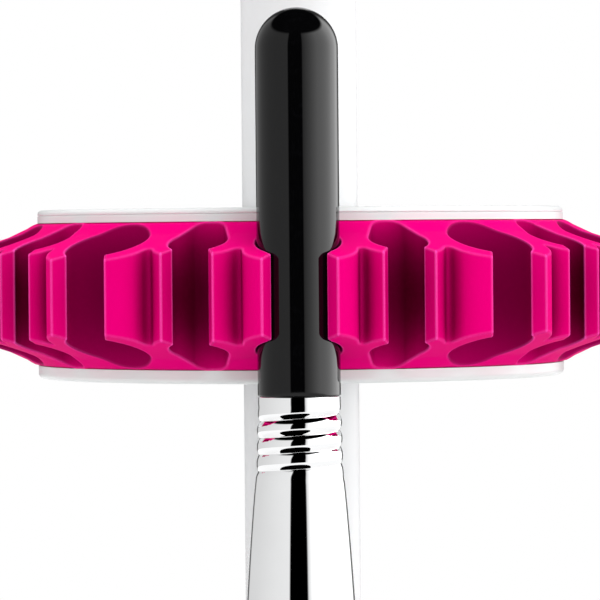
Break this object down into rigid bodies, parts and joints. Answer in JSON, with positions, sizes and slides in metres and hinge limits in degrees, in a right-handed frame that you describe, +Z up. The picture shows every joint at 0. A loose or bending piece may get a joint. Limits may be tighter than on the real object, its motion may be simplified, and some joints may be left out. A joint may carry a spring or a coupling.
{
  "type": "make-up brush drying tower",
  "caption": "Weighted base and round pole with a sliding, turning spool. A flexible toothed ring on the spool grips make-up brushes head down; one brush hangs in it.",
  "frame": {"origin": "on the floor under the middle of the pole, at the centre of the base's footprint", "axes": "+Z up along the pole, -Y towards the loaded pocket, +X to the right when the loaded pocket faces the viewer"},
  "size_m": [0.165, 0.165, 0.307],
  "materials": {
    "white_plastic": "satin moulded white",
    "white_tube": "smooth extruded white",
    "grey_plastic": "plain moulded",
    "grey_rubber": "matte",
    "steel": "zinc plated",
    "magenta_silicone": "satin silicone",
    "black_lacquer": "high gloss black lacquer on wood",
    "bright_plate": "polished bright plate on brass tube",
    "resin": "cast epoxy",
    "dark_hair": "dense synthetic hair"
  },
  "bodies": {
    "tower": {"base_shell": "white_plastic", "base_ballast": "steel", "base_plate": "grey_plastic", "base_plate_screws": "steel", "foot_pads": "grey_rubber", "lower_pole": "white_tube", "upper_pole": "white_tube", "pole_joiner": "grey_plastic", "pole_foot_plug": "grey_plastic", "pole_washer": "steel", "pole_screw": "steel", "top_cap": "white_plastic"},
    "hub": {"hub_sleeve": "grey_plastic", "pole_grips": "grey_rubber", "hub_clip": "steel", "thrust_washer": "steel"},
    "spool": {"spool_drum": "white_plastic", "clamp_plate": "white_plastic", "clamp_screws": "steel", "spool_cover": "white_plastic", "brush_grip_ring": "magenta_silicone"},
    "brush": {"brush_handle": "black_lacquer", "brush_ferrule": "bright_plate", "brush_glue_plug": "resin", "brush_bristles": "dark_hair"}
  },
  "joints": [
    {"name": "spool_height", "type": "slide", "parent": "tower", "child": "hub", "axis": [0, 0, 1], "range_m": [-0.037, 0.068]},
    {"name": "spool_turn", "type": "hinge", "parent": "hub", "child": "spool", "pos_m": [0, 0, 0.215], "axis": [0, 0, 1], "continuous": true},
    {"name": "brush_pull", "type": "slide", "parent": "spool", "child": "brush", "axis": [0, 0, -1], "range_m": [0, 0.064]}
  ]
}
